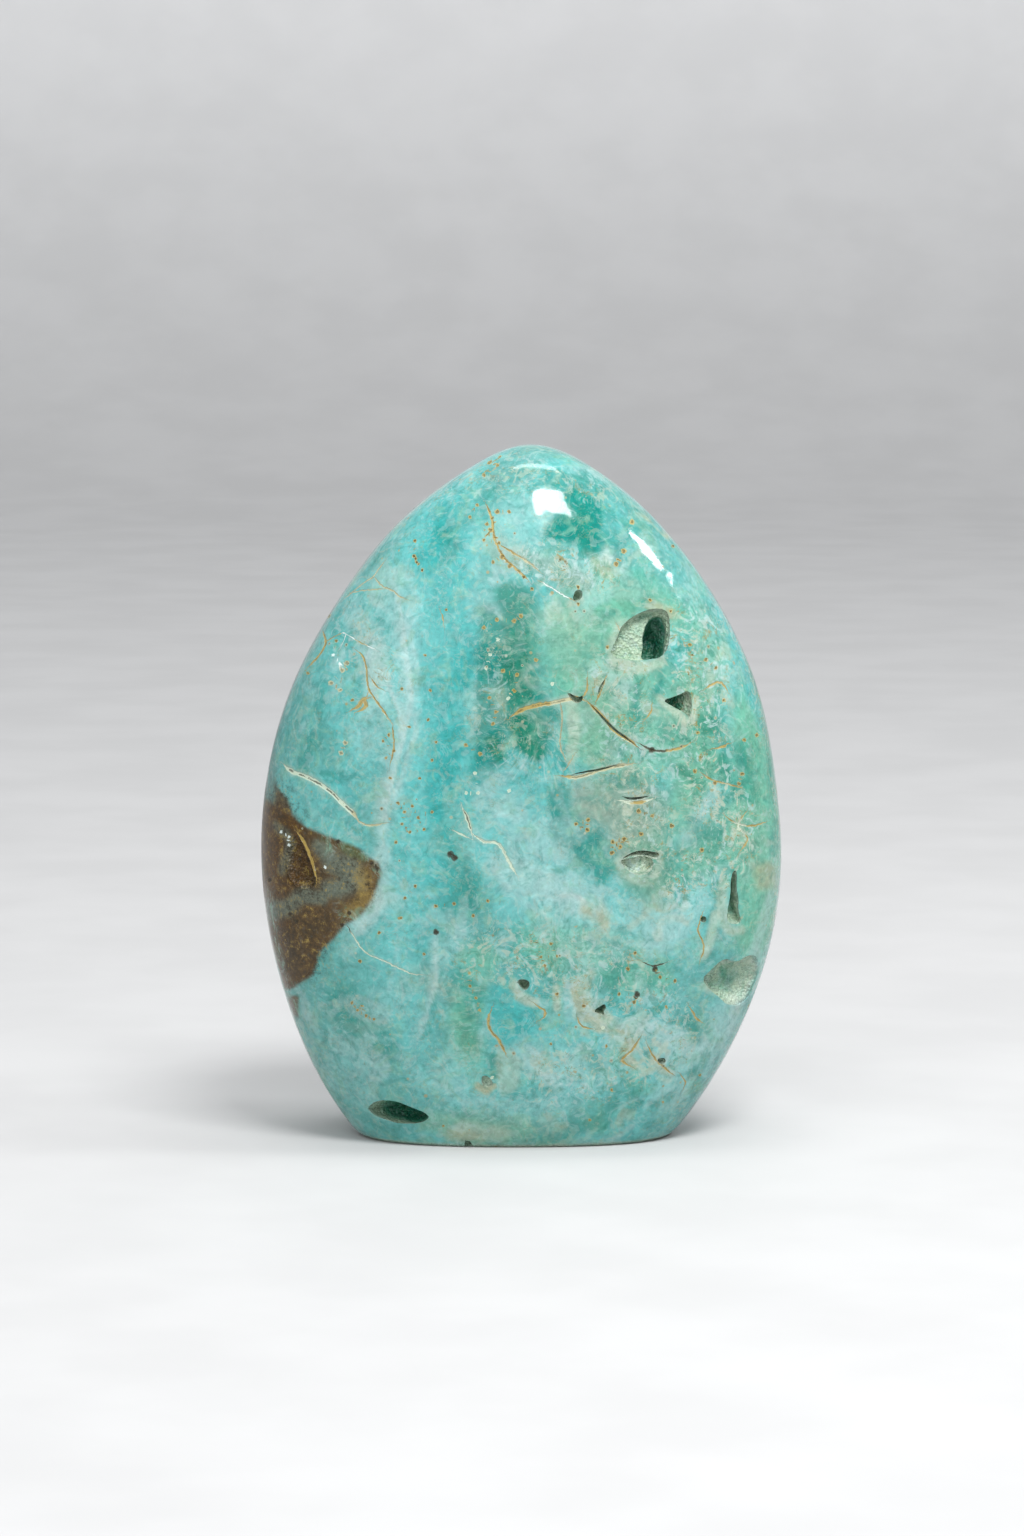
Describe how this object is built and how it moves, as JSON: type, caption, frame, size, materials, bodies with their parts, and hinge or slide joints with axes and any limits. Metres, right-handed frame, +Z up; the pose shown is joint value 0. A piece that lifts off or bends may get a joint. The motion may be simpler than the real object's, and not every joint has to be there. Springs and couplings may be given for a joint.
{
  "type": "blue aragonite flame",
  "caption": "Polished free-standing stone: a blunt-tipped, domed egg-like slab with small open vugs and cracks, cut flat at the foot to stand upright.",
  "frame": {"origin": "the middle of the flat foot, on the surface the stone stands on", "axes": "+Z up from the foot to the tip, the front face towards -Y, +X to the right of someone who faces the front"},
  "size_m": [0.0751, 0.036, 0.1],
  "materials": {
    "polished_aragonite": "polished blue-green aragonite with white, tan and brown patches; drusy in the open vugs"
  },
  "bodies": {
    "root": {"aragonite_flame": "polished_aragonite"}
  },
  "joints": []
}
